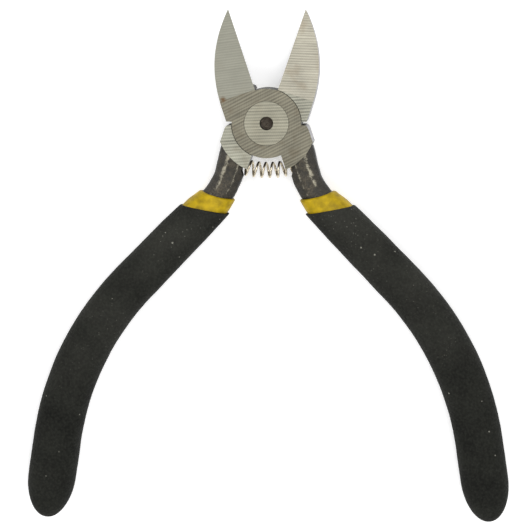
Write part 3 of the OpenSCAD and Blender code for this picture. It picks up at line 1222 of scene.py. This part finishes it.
class Graph:
    """Short calls that add and join the nodes of one tree."""

    def __init__(self, tree: NodeTree) -> None:
        """Keeps the tree."""
        self.tree = tree

    def add(self, kind: str, inputs: dict | None = None, **settings: object) -> Node:
        """Adds a node.

        Args:
            kind: Its type.
            inputs: Values, or output sockets to join, by socket name or number.
            **settings: Its properties.

        Returns:
            The new node.
        """
        node = self.tree.nodes.new(kind)
        for key, value in settings.items():
            setattr(node, key, value)
        for key, value in (inputs or {}).items():
            if isinstance(value, NodeSocket):
                self.tree.links.new(value, node.inputs[key])
            else:
                node.inputs[key].default_value = value
        return node

    def math(self, operation: str, *values: object) -> NodeSocket:
        """Adds a Math node and returns its output."""
        return self.add("ShaderNodeMath", dict(enumerate(values)), operation=operation).outputs[0]

    def blend(self, share: object, low: Colour | NodeSocket, high: Colour | NodeSocket) -> NodeSocket:
        """Mixes two colours.

        Args:
            share: Share of the second one.
            low: The first colour, or a socket that gives it.
            high: The second one.

        Returns:
            The mixed colour.
        """
        inputs = {0: share}
        for key, colour in ((6, low), (7, high)):
            inputs[key] = colour if isinstance(colour, NodeSocket) else (*colour, 1.0)
        return self.add("ShaderNodeMix", inputs, data_type="RGBA").outputs[2]

    def times(self, first: object, second: object) -> NodeSocket:
        """Product of two values."""
        return self.math("MULTIPLY", first, second)

    def plus(self, first: object, second: object) -> NodeSocket:
        """Sum of two values."""
        return self.math("ADD", first, second)

    def minus(self, first: object, second: object) -> NodeSocket:
        """First value less the second."""
        return self.math("SUBTRACT", first, second)

    def ramp(
        self, value: object, low: float, high: float, start: float = 0.0, end: float = 1.0
    ) -> NodeSocket:
        """Maps low to start and high to end, and stops there."""
        return self.add("ShaderNodeMapRange", {0: value, 1: low, 2: high, 3: start, 4: end}).outputs[0]

    def place(self) -> NodeSocket:
        """Object coordinates of the shaded point."""
        return self.add("ShaderNodeTexCoord").outputs["Object"]

    def join(self, source: NodeSocket, target: NodeSocket) -> None:
        """Links one socket to another."""
        self.tree.links.new(source, target)


class SharedGroups:
    """Shader groups that several finishes use, each built once."""

    @staticmethod
    def open(name: str, inputs: dict[str, float], output: str) -> tuple[Graph, dict, Node]:
        """Starts a group with float inputs and one float output.

        Args:
            name: The group's name.
            inputs: Its inputs and their usual values.
            output: Its output's name.

        Returns:
            The graph, the input sockets by name, and the output node.
        """
        tree = bpy.data.node_groups.new(name, "ShaderNodeTree")
        for key, value in inputs.items():
            socket = tree.interface.new_socket(key, in_out="INPUT", socket_type="NodeSocketFloat")
            socket.default_value = value
        tree.interface.new_socket(output, in_out="OUTPUT", socket_type="NodeSocketFloat")
        graph = Graph(tree)
        source = graph.add("NodeGroupInput")
        return graph, {key: source.outputs[key] for key in inputs}, graph.add("NodeGroupOutput")

    @staticmethod
    def grinding() -> NodeTree:
        """Parallel grinding lines in the plane of the tool.

        Returns:
            The group's tree.
        """
        graph, given, out = SharedGroups.open(
            "grinding_lines", {"Angle": 0.0, "Lines per metre": 1500.0, "Waver": 0.02}, "Shade"
        )
        place = graph.place()
        turned = graph.add(
            "ShaderNodeVectorRotate",
            {"Vector": place, "Angle": graph.times(given["Angle"], -1.0)},
            rotation_type="Z_AXIS",
        )
        along = graph.times(given["Lines per metre"], given["Waver"])
        scale = graph.add("ShaderNodeCombineXYZ", {0: along, 1: given["Lines per metre"], 2: along})
        stretch = {0: turned.outputs[0], 1: scale.outputs[0]}
        drawn = graph.add("ShaderNodeVectorMath", stretch, operation="MULTIPLY")
        lines = graph.add(
            "ShaderNodeTexNoise",
            {"Vector": drawn.outputs[0], "Scale": 2.2, "Detail": 4.0, "Roughness": 0.7},
        )
        even = graph.add(
            "ShaderNodeTexWave",
            {
                "Vector": drawn.outputs[0], "Scale": 0.314, "Distortion": 2.2, "Detail": 2.0,
                "Detail Scale": 1.5,
            },
            bands_direction="Y",
        )
        shade = graph.ramp(lines.outputs[0], 0.3, 0.7)
        both = graph.plus(graph.times(shade, 0.5), graph.times(even.outputs["Fac"], 0.5))
        graph.join(graph.ramp(both, 0.12, 0.88), out.inputs[0])
        return graph.tree

    @staticmethod
    def mottle() -> NodeTree:
        """Soft uneven patches.

        Returns:
            The group's tree.
        """
        graph, given, out = SharedGroups.open("mottle", {"Patches per metre": 300.0, "Detail": 5.0}, "Shade")
        place = graph.place()
        patches = graph.add(
            "ShaderNodeTexNoise",
            {"Vector": place, "Scale": given["Patches per metre"], "Detail": given["Detail"]},
        )
        graph.join(graph.ramp(patches.outputs[0], 0.32, 0.68), out.inputs[0])
        return graph.tree

    @staticmethod
    def specks() -> NodeTree:
        """Small scattered specks.

        Returns:
            The group's tree.
        """
        graph, given, out = SharedGroups.open(
            "specks", {"Specks per metre": 900.0, "Size": 0.2, "Amount": 0.1}, "Mask"
        )
        place = graph.place()
        cells = graph.add("ShaderNodeTexVoronoi", {"Vector": place, "Scale": given["Specks per metre"]})
        chance = graph.add("ShaderNodeSeparateColor", {0: cells.outputs["Color"]}).outputs[0]
        size = graph.times(given["Size"], graph.plus(0.35, graph.times(chance, 6.0)))
        inside = graph.math("LESS_THAN", cells.outputs["Distance"], size)
        shown = graph.times(inside, graph.math("LESS_THAN", chance, given["Amount"]))
        graph.join(shown, out.inputs[0])
        return graph.tree

    @staticmethod
    def pebble() -> NodeTree:
        """Fine pebbled skin of foamed vinyl.

        Returns:
            The group's tree.
        """
        graph, given, out = SharedGroups.open("pebble", {"Pebbles per metre": 1500.0}, "Height")
        place = graph.place()
        cells = graph.add("ShaderNodeTexVoronoi", {"Vector": place, "Scale": given["Pebbles per metre"]})
        grain = graph.add(
            "ShaderNodeTexNoise", {"Vector": place, "Scale": given["Pebbles per metre"], "Detail": 3.0}
        )
        height = graph.plus(graph.times(cells.outputs["Distance"], -0.6), grain.outputs[0])
        graph.join(height, out.inputs[0])
        return graph.tree

    @classmethod
    def get(cls, name: str) -> NodeTree:
        """Finds a group, and builds it the first time.

        Args:
            name: Its name.

        Returns:
            The group's tree.
        """
        makers = {
            "grinding_lines": cls.grinding, "mottle": cls.mottle, "specks": cls.specks, "pebble": cls.pebble,
        }
        return bpy.data.node_groups.get(name) or makers[name]()


@dataclass(frozen=True)
class Finish:
    """Base of every finish: a named material with one Principled shader."""

    name: str
    colour: Colour

    def start(self, roughness: float, metallic: float) -> tuple[Material, Graph, Node]:
        """Makes the material and sets what is the same all over it.

        Args:
            roughness: The shader's roughness.
            metallic: The shader's metallic share.

        Returns:
            The material, its graph and its shader.
        """
        material = bpy.data.materials.new(self.name)
        material.use_nodes = True
        graph = Graph(material.node_tree)
        shader = material.node_tree.nodes["Principled BSDF"]
        shader.inputs["Base Color"].default_value = (*self.colour, 1.0)
        shader.inputs["Roughness"].default_value = roughness
        shader.inputs["Metallic"].default_value = metallic
        return material, graph, shader

    def shade(self, factor: float) -> Colour:
        """The finish's colour, lighter or darker."""
        return tuple(min(1.0, channel * factor) for channel in self.colour)

    @staticmethod
    def group(graph: Graph, name: str, **values: float) -> NodeSocket:
        """Places a shared group.

        Args:
            graph: Where it is placed.
            name: Its name.
            **values: Its inputs, with underscores for spaces.

        Returns:
            Its output.
        """
        node = graph.add("ShaderNodeGroup", node_tree=SharedGroups.get(name))
        for key, value in values.items():
            node.inputs[key.replace("_", " ")].default_value = value
        return node.outputs[0]

    @staticmethod
    def bump(graph: Graph, shader: Node, height: NodeSocket, strength: float, distance: float) -> None:
        """Feeds a height to the shader's normal; distance is its size in metres."""
        node = graph.add("ShaderNodeBump", {"Strength": strength, "Distance": distance, "Height": height})
        graph.join(node.outputs[0], shader.inputs["Normal"])


@dataclass(frozen=True)
class GroundSteel(Finish):
    """Surface-ground steel with grinding lines, a few cross scratches and small stains."""

    angle: float = 0.0
    lines: float = 1500.0
    contrast: float = 0.16
    roughness: float = 0.42
    roughness_spread: float = 0.08
    stain: Colour = (0.12, 0.07, 0.03)
    stain_amount: float = 0.004
    tint_share: float = 0.12
    rust_at: tuple[float, float, float] | None = None

    def rust(self, graph: Graph, share: NodeSocket) -> NodeSocket:
        """Mask of one small ragged rust spot at rust_at, in millimetres.

        Args:
            graph: The material's graph.
            share: Unevenness that makes the spot ragged.

        Returns:
            The mask, 1 inside the spot.
        """
        place = graph.place()
        spot = tuple(value * MM for value in self.rust_at)
        reach = graph.add("ShaderNodeVectorMath", {0: place, 1: spot}, operation="DISTANCE").outputs["Value"]
        ragged = graph.plus(reach, graph.times(share, 0.0007))
        return graph.ramp(ragged, 0.0014, 0.0006)

    def make(self) -> Material:
        """Builds the material.

        Returns:
            The material.
        """
        material, graph, shader = self.start(self.roughness, 0.45)
        main = self.group(
            graph, "grinding_lines", Angle=math.radians(self.angle), Lines_per_metre=self.lines, Waver=0.03
        )
        cross = self.group(
            graph, "grinding_lines", Angle=math.radians(self.angle + 64.0),
            Lines_per_metre=self.lines * 1.7, Waver=0.05,
        )
        mottle = self.group(graph, "mottle", Patches_per_metre=160.0, Detail=4.0)
        lines = graph.plus(graph.times(main, 0.6), graph.times(cross, 0.15))
        share = graph.plus(lines, graph.times(mottle, 0.25))
        bare = graph.blend(share, self.shade(1.0 - self.contrast), self.shade(1.0 + self.contrast))
        patch = self.group(graph, "mottle", Patches_per_metre=230.0, Detail=6.0)
        brown = graph.ramp(patch, 0.55, 1.0, end=self.tint_share)
        tint = tuple(channel * share_left for channel, share_left in zip(self.colour, (0.62, 0.5, 0.38)))
        ground = graph.blend(graph.minus(1.0, brown), tint, bare)
        stains = self.group(graph, "specks", Specks_per_metre=420.0, Size=0.2, Amount=self.stain_amount)
        if self.rust_at is not None:
            stains = graph.math("MAXIMUM", stains, self.rust(graph, share))
        graph.join(graph.blend(stains, ground, self.stain), shader.inputs["Base Color"])
        spread = self.roughness_spread
        rough = graph.ramp(share, 0.0, 1.0, self.roughness + spread, self.roughness - spread)
        graph.join(rough, shader.inputs["Roughness"])
        self.bump(graph, shader, share, 0.5, 0.00004)
        return material


@dataclass(frozen=True)
class ForgedScale(Finish):
    """Dark forged skin with bright worn streaks where the wear attribute says, and a painted shade on its
    upright faces where the level attribute says.
    """

    bright: Colour = (0.40, 0.37, 0.28)
    brown: Colour = (0.105, 0.085, 0.055)
    painted_flank_shade: Colour = (0.022, 0.020, 0.016)

    def make(self) -> Material:
        """Builds the material.

        Returns:
            The material.
        """
        material, graph, shader = self.start(0.46, 0.35)
        patches = self.group(graph, "mottle", Patches_per_metre=700.0, Detail=8.0)
        fine = self.group(graph, "mottle", Patches_per_metre=2600.0, Detail=4.0)
        pits = self.group(graph, "specks", Specks_per_metre=2100.0, Size=0.2, Amount=0.22)
        grain = graph.minus(graph.times(patches, fine), graph.times(pits, 0.3))
        skin = graph.blend(graph.math("MAXIMUM", grain, 0.0), self.colour, self.brown)
        wear = graph.add("ShaderNodeAttribute", attribute_name="wear").outputs["Fac"]
        broken = graph.times(wear, graph.plus(0.35, graph.times(patches, 0.9)))
        grit = graph.minus(broken, graph.times(fine, 0.45))
        mask = graph.ramp(grit, 0.16, 0.7)
        mixed = graph.blend(mask, skin, self.bright)
        # Painted shade: upright faces turn near-black, and only level faces keep the skin, its brown and its
        # wear.
        tilt = graph.add("ShaderNodeAttribute", attribute_name="level").outputs["Fac"]
        level = graph.ramp(tilt, 0.6, 0.97)
        shown = graph.blend(level, self.painted_flank_shade, mixed)
        graph.join(shown, shader.inputs["Base Color"])
        height = graph.plus(graph.times(patches, 0.7), graph.times(fine, 0.3))
        self.bump(graph, shader, height, 0.9, 0.0003)
        return material


@dataclass(frozen=True)
class SpringWire(Finish):
    """Drawn spring wire, bright with faint drawing marks."""

    def make(self) -> Material:
        """Builds the material.

        Returns:
            The material.
        """
        material, graph, shader = self.start(0.24, 1.0)
        marks = self.group(graph, "mottle", Patches_per_metre=2600.0, Detail=3.0)
        colour = graph.blend(marks, self.shade(0.75), self.shade(1.2))
        graph.join(colour, shader.inputs["Base Color"])
        self.bump(graph, shader, marks, 0.3, 0.00003)
        return material


@dataclass(frozen=True)
class YellowVinyl(Finish):
    """Smooth dipped vinyl, a little mottled and dusty."""

    dust: Colour = (0.5, 0.42, 0.2)

    def make(self) -> Material:
        """Builds the material.

        Returns:
            The material.
        """
        material, graph, shader = self.start(0.55, 0.0)
        shader.inputs["Specular IOR Level"].default_value = 0.22
        patches = self.group(graph, "mottle", Patches_per_metre=520.0, Detail=6.0)
        colour = graph.blend(patches, self.shade(0.66), self.shade(1.3))
        dust = self.group(graph, "specks", Specks_per_metre=1500.0, Size=0.16, Amount=0.03)
        dusty = graph.blend(graph.times(dust, 0.5), colour, self.dust)
        graph.join(dusty, shader.inputs["Base Color"])
        self.bump(graph, shader, patches, 0.35, 0.00008)
        return material


@dataclass(frozen=True)
class BlackVinyl(Finish):
    """Matt foamed vinyl with a pebbled skin, pale dust and a painted sheen that lightens it towards the head
    end.
    """

    # Colour of the pale dust, also used for the painted sheen.
    dust: Colour = (0.24, 0.235, 0.20)

    def make(self) -> Material:
        """Builds the material.

        Returns:
            The material.
        """
        material, graph, shader = self.start(0.82, 0.0)
        shader.inputs["Specular IOR Level"].default_value = 0.12
        pebble = self.group(graph, "pebble", Pebbles_per_metre=1500.0)
        patches = self.group(graph, "mottle", Patches_per_metre=120.0, Detail=5.0)
        grain = graph.ramp(pebble, 0.0, 0.55)
        share = graph.plus(graph.times(grain, 0.6), graph.times(patches, 0.4))
        skin = graph.blend(share, self.shade(0.4), self.shade(1.75))
        dust = self.group(graph, "specks", Specks_per_metre=560.0, Size=0.17, Amount=0.09)
        fine = self.group(graph, "specks", Specks_per_metre=1700.0, Size=0.12, Amount=0.35)
        drift = self.group(graph, "mottle", Patches_per_metre=55.0, Detail=3.0)
        place = graph.place()
        along = graph.add("ShaderNodeSeparateXYZ", {0: place}).outputs[1]
        # Painted sheen: lightens the grip evenly towards the head end, and the dust drifts grow with it.
        painted_sheen_ramp = graph.ramp(along, -0.085, -0.035, start=0.15)
        drifts = graph.ramp(drift, 0.35, 0.9)
        veil = graph.times(graph.plus(graph.times(fine, 0.32), 0.05), drifts)
        dust_and_sheen_film = graph.plus(graph.times(veil, painted_sheen_ramp), graph.times(painted_sheen_ramp, 0.022))
        amount = graph.math("MAXIMUM", graph.times(dust, 0.75), dust_and_sheen_film)
        # Blends the skin towards the dust colour, partly for real dust specks and drifts and partly for the
        # painted sheen.
        graph.join(graph.blend(amount, skin, self.dust), shader.inputs["Base Color"])
        self.bump(graph, shader, pebble, 0.9, 0.0003)
        return material


# ---------------------------------------------------------------------------------------------
# Return spring
# ---------------------------------------------------------------------------------------------


@dataclass
class ReturnSpring:
    """Small compression spring bowed between the two necks."""

    head: HeadSize
    size: SpringSize
    samples_per_turn: int = 40
    wire_sides: int = 14

    def sizes(self) -> dict[str, float]:
        """Sizes of the wire's path at rest.

        Returns:
            Sizes by name, in metres and radians.
        """
        size, head = self.size, self.head
        depth = head.hollow_r + size.clear + size.coil_d / 2
        opened = math.radians(head.open_half)
        mouth_x = head.shoulder_in_x * math.cos(opened) + depth * math.sin(opened)
        mouth_y = head.shoulder_in_x * math.sin(opened) - depth * math.cos(opened)
        at_mouth = math.asin(mouth_x / size.bow_r)
        inside = size.pocket_depth - size.wire_d / 2 - size.seat_gap
        half_angle = at_mouth + inside / size.bow_r
        length = 2 * half_angle * size.bow_r
        closed = size.wire_d * size.closed_share
        return {
            "Turns": 2 + (length - 2 * closed) / size.pitch,
            "Closed Pitch": closed * MM,
            "Open Pitch": size.pitch * MM,
            "Half Angle": half_angle,
            "Bow Radius": size.bow_r * MM,
            "Bow Centre": (mouth_y + size.bow_r * math.cos(at_mouth)) * MM,
            "Coil Radius": (size.coil_d - size.wire_d) / 2 * MM,
            "Wire Radius": size.wire_d / 2 * MM,
            "Height": head.half_t * MM,
        }

    def tree(self, count: int, material: Material) -> NodeTree:
        """Builds the geometry nodes that wind the wire.

        Args:
            count: Points along the wire.
            material: The wire's finish.

        Returns:
            The tree.
        """
        tree = bpy.data.node_groups.new("wound_spring", "GeometryNodeTree")
        for name, value in self.sizes().items():
            socket = tree.interface.new_socket(name, in_out="INPUT", socket_type="NodeSocketFloat")
            socket.default_value = value
        tree.interface.new_socket("Geometry", in_out="OUTPUT", socket_type="NodeSocketGeometry")
        graph = Graph(tree)
        given = graph.add("NodeGroupInput").outputs
        out = graph.add("NodeGroupOutput")
        line = graph.add("GeometryNodeCurvePrimitiveLine")
        fine = graph.add("GeometryNodeResampleCurve", {"Curve": line.outputs[0], "Count": count})
        share = graph.add("GeometryNodeSplineParameter").outputs["Factor"]
        turns = graph.times(share, given["Turns"])
        middle = graph.minus(given["Turns"], 2.0)
        first = graph.times(graph.math("MINIMUM", turns, 1.0), given["Closed Pitch"])
        past = graph.math("MAXIMUM", graph.minus(turns, 1.0), 0.0)
        spaced = graph.times(graph.math("MINIMUM", past, middle), given["Open Pitch"])
        late = graph.math("MAXIMUM", graph.minus(past, middle), 0.0)
        last = graph.times(late, given["Closed Pitch"])
        run = graph.plus(graph.plus(first, spaced), last)
        bow = graph.minus(graph.math("DIVIDE", run, given["Bow Radius"]), given["Half Angle"])
        bearing = graph.minus(bow, math.pi / 2)
        spin = graph.plus(graph.times(turns, math.tau), math.pi / 2)
        offset = graph.times(graph.math("COSINE", spin), given["Coil Radius"])
        radius = graph.plus(given["Bow Radius"], offset)
        x = graph.times(radius, graph.math("COSINE", bearing))
        y = graph.times(radius, graph.math("SINE", bearing))
        y = graph.plus(y, given["Bow Centre"])
        z = graph.times(graph.math("SINE", spin), given["Coil Radius"])
        z = graph.plus(z, given["Height"])
        point = graph.add("ShaderNodeCombineXYZ", {0: x, 1: y, 2: z})
        path = {"Geometry": fine.outputs[0], "Position": point.outputs[0]}
        wound = graph.add("GeometryNodeSetPosition", path)
        section = {"Resolution": self.wire_sides, "Radius": given["Wire Radius"]}
        wire = graph.add("GeometryNodeCurvePrimitiveCircle", section)
        swept = graph.add(
            "GeometryNodeCurveToMesh",
            {"Curve": wound.outputs[0], "Profile Curve": wire.outputs[0], "Fill Caps": True},
        )
        real = graph.add("GeometryNodeRealizeInstances", {"Geometry": swept.outputs[0]})
        dressed = graph.add("GeometryNodeSetMaterial", {"Geometry": real.outputs[0], "Material": material})
        tree.links.new(dressed.outputs[0], out.inputs[0])
        return tree

    def build(self, material: Material) -> Object:
        """Winds the spring at rest and bakes it to a plain mesh.

        Args:
            material: The wire's finish.

        Returns:
            The spring.
        """
        spring = MeshTools.from_data("return_spring_wire", [Vector()], [])
        sizes = self.sizes()
        tree = self.tree(round(sizes["Turns"] * self.samples_per_turn), material)
        modifier = spring.modifiers.new("wound", "NODES")
        modifier.node_group = tree
        for item in tree.interface.items_tree:
            if item.in_out == "INPUT":
                modifier[item.identifier] = sizes[item.name]
        MeshTools.apply_modifiers(spring)
        for polygon in spring.data.polygons:
            polygon.use_smooth = len(polygon.vertices) == 4
        return spring


# ---------------------------------------------------------------------------------------------
# Camera, light and floor
# ---------------------------------------------------------------------------------------------


@dataclass(frozen=True)
class Camera:
    """A long lens over the open pliers, leaning a little to the right and to the tips."""

    lean_x: float = 4.0
    lean_y: float = 5.6
    distance: float = 1.0
    lens: float = 256.6
    aim: tuple[float, float, float] = (-0.35, -37.5, 9.0)
    clip_end: float = 20.0

    def place(self) -> None:
        """Adds the camera and makes it the scene's."""
        data = bpy.data.cameras.new("view_camera")
        data.lens = self.lens
        data.clip_end = self.clip_end
        camera = bpy.data.objects.new("view_camera", data)
        bpy.context.scene.collection.objects.link(camera)
        lean = Vector((math.tan(math.radians(self.lean_x)), math.tan(math.radians(self.lean_y)), 1.0))
        back = lean.normalized()
        right = Vector((0, 1, 0)).cross(back).normalized()
        up = back.cross(right)
        turn = Matrix((right, up, back)).transposed().to_4x4()
        eye = Vector(self.aim) * MM + back * self.distance
        camera.matrix_world = Matrix.Translation(eye) @ turn
        bpy.context.scene.camera = camera


@dataclass(frozen=True)
class Studio:
    """Pale floor, white surroundings and three soft lights."""

    surround: float = 0.62
    floor_size: float = 3.0
    floor_glow: float = 0.3

    def lamp(self, name: str, place: tuple[float, float, float], size: float, power: float) -> None:
        """Adds a square soft light that faces the joint.

        Args:
            name: Its name.
            place: Where it stands, in metres.
            size: Its side, in metres.
            power: Its power in watts.
        """
        data = bpy.data.lights.new(name, "AREA")
        data.size = size
        data.energy = power
        lamp = bpy.data.objects.new(name, data)
        lamp.location = place
        lamp.rotation_euler = (-Vector(place)).to_track_quat("-Z", "Y").to_euler()
        bpy.context.scene.collection.objects.link(lamp)

    def build(self, floor_z: float) -> None:
        """Adds the floor, the surroundings and the lights.

        Args:
            floor_z: Height of the floor, in metres.
        """
        side = self.floor_size / 2
        turns = ((-side, -side), (side, -side), (side, side), (-side, side))
        corners = [Vector((x, y, floor_z)) for x, y in turns]
        floor = MeshTools.from_data("floor", corners, [[0, 1, 2, 3]])
        paper = bpy.data.materials.new("pale_paper")
        paper.use_nodes = True
        graph = Graph(paper.node_tree)
        shader = paper.node_tree.nodes["Principled BSDF"]
        shader.inputs["Roughness"].default_value = 0.95
        shader.inputs["Specular IOR Level"].default_value = 0.1
        shader.inputs["Emission Color"].default_value = (1.0, 1.0, 1.0, 1.0)
        shader.inputs["Emission Strength"].default_value = self.floor_glow
        grain = Finish.group(graph, "mottle", Patches_per_metre=40.0, Detail=3.0)
        colour = graph.blend(grain, (0.95, 0.95, 0.95), (0.98, 0.98, 0.98))
        graph.join(colour, shader.inputs["Base Color"])
        floor.data.materials.append(paper)
        floor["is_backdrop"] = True
        world = bpy.data.worlds.new("white_room")
        bpy.context.scene.world = world
        world.use_nodes = True
        background = world.node_tree.nodes["Background"]
        background.inputs[0].default_value = (1.0, 1.0, 1.0, 1.0)
        background.inputs[1].default_value = self.surround
        self.lamp("soft_top", (0.26, 0.25, 0.95), 0.6, 4.2)
        self.lamp("soft_side", (-0.55, 0.05, 0.7), 0.5, 1.6)
        self.lamp("soft_low", (0.15, -0.65, 0.8), 0.6, 2.2)
        bpy.context.scene.view_settings.view_transform = "Standard"


class Finishes:
    """Every finish of the pliers, made once."""

    def __init__(self) -> None:
        """Builds the materials."""
        ring = (0.176, 0.163, 0.119)
        pale = (0.285, 0.281, 0.224)
        self.halves: dict[Lap, list[Material]] = {}
        spot = (-11.5, 6.2, 8.9)
        for lap, joint, angle, blade, blade_angle, blade_contrast, tint, rust in (
            (Lap.FRONT, ring, 27.0, (0.242, 0.239, 0.193), 8.0, 0.2, 0.1, spot),
            (Lap.BACK, pale, 4.0, (0.318, 0.300, 0.240), -2.0, 0.42, 0.4, None),
        ):
            word = lap.name.lower()
            finishes = (
                GroundSteel(
                    f"{word}_joint_face", joint, angle=angle, lines=1250.0, contrast=0.62, rust_at=rust,
                    tint_share=0.35,
                ),
                GroundSteel(
                    f"{word}_blade_face", blade, angle=blade_angle, contrast=blade_contrast,
                    stain_amount=0.012, rust_at=rust, tint_share=tint,
                ),
                GroundSteel(f"{word}_side_wall", (0.27, 0.265, 0.28), angle=80.0, contrast=0.14),
                ForgedScale(f"{word}_forged_skin", (0.026, 0.024, 0.018)),
                GroundSteel(f"{word}_worn_edge", (0.33, 0.325, 0.29), angle=50.0, contrast=0.12),
                GroundSteel(f"{word}_back_face", pale, angle=-angle, contrast=0.2),
            )
            self.halves[lap] = [finish.make() for finish in finishes]
        face = GroundSteel("rivet_face", (0.28, 0.268, 0.205), angle=2.0, lines=1250.0, contrast=0.5)
        self.rivet = face.make()
        # The rivet's hole takes the forged finish: dark brown inside, with its upright walls painted darker
        # still as shade.
        self.hole = ForgedScale("rivet_hole", (0.045, 0.032, 0.022)).make()
        self.spring = SpringWire("spring_wire", (0.62, 0.55, 0.42)).make()
        self.yellow = YellowVinyl("yellow_vinyl", (0.385, 0.262, 0.001)).make()
        self.black = BlackVinyl("black_vinyl", (0.0115, 0.0122, 0.0098)).make()


def dress(obj: Object, body: str, node: str, materials: Sequence[Material]) -> None:
    """Gives a piece its materials, the node it replaces and the body it rides.

    Args:
        obj: The piece.
        body: Name of the body.
        node: Name of the node it stands for.
        materials: Its materials, in slot order.
    """
    order = [polygon.material_index for polygon in obj.data.polygons]
    obj.data.materials.clear()
    for material in materials:
        obj.data.materials.append(material)
    obj.data.polygons.foreach_set("material_index", order)
    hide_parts(node)
    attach(obj, body)
    LOG.info("%s: %d faces", obj.name, len(obj.data.polygons))


def main() -> None:
    """Builds every piece, dresses it and sets the stage."""
    logging.basicConfig(level=logging.INFO, format="%(message)s")
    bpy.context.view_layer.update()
    low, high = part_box("front_half")
    head = HeadSize(thickness=round((high[2] - low[2]) / MM, 3))
    rivet, coats, spring_size = RivetSize(), CoatSize(), SpringSize()
    path = HandlePath(head, HandleSize())
    finishes = Finishes()
    for lap, body in ((Lap.FRONT, "front_body"), (Lap.BACK, "back_body")):
        word = lap.name.lower()
        half = ForgedHalf(lap, head, path, rivet, spring_size)
        dress(half.build(), body, f"{word}_half", finishes.halves[lap])
        pair = DippedCoats(lap, path, coats, half.placement)
        dress(pair.build_undercoat(), body, f"{word}_undercoat", [finishes.yellow])
        dress(pair.build_grip(), body, f"{word}_grip", [finishes.black])
    pin = Rivet(head, rivet)
    dress(pin.build(), "back_body", "joint_rivet", [finishes.rivet, finishes.hole])
    spring = ReturnSpring(head, spring_size).build(finishes.spring)
    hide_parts("return_spring")
    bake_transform(spring)
    LOG.info("%s: %d faces", spring.name, len(spring.data.polygons))
    Camera().place()
    visual_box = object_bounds()
    Studio().build(visual_box[0][2])


if __name__ == "__main__":
    main()
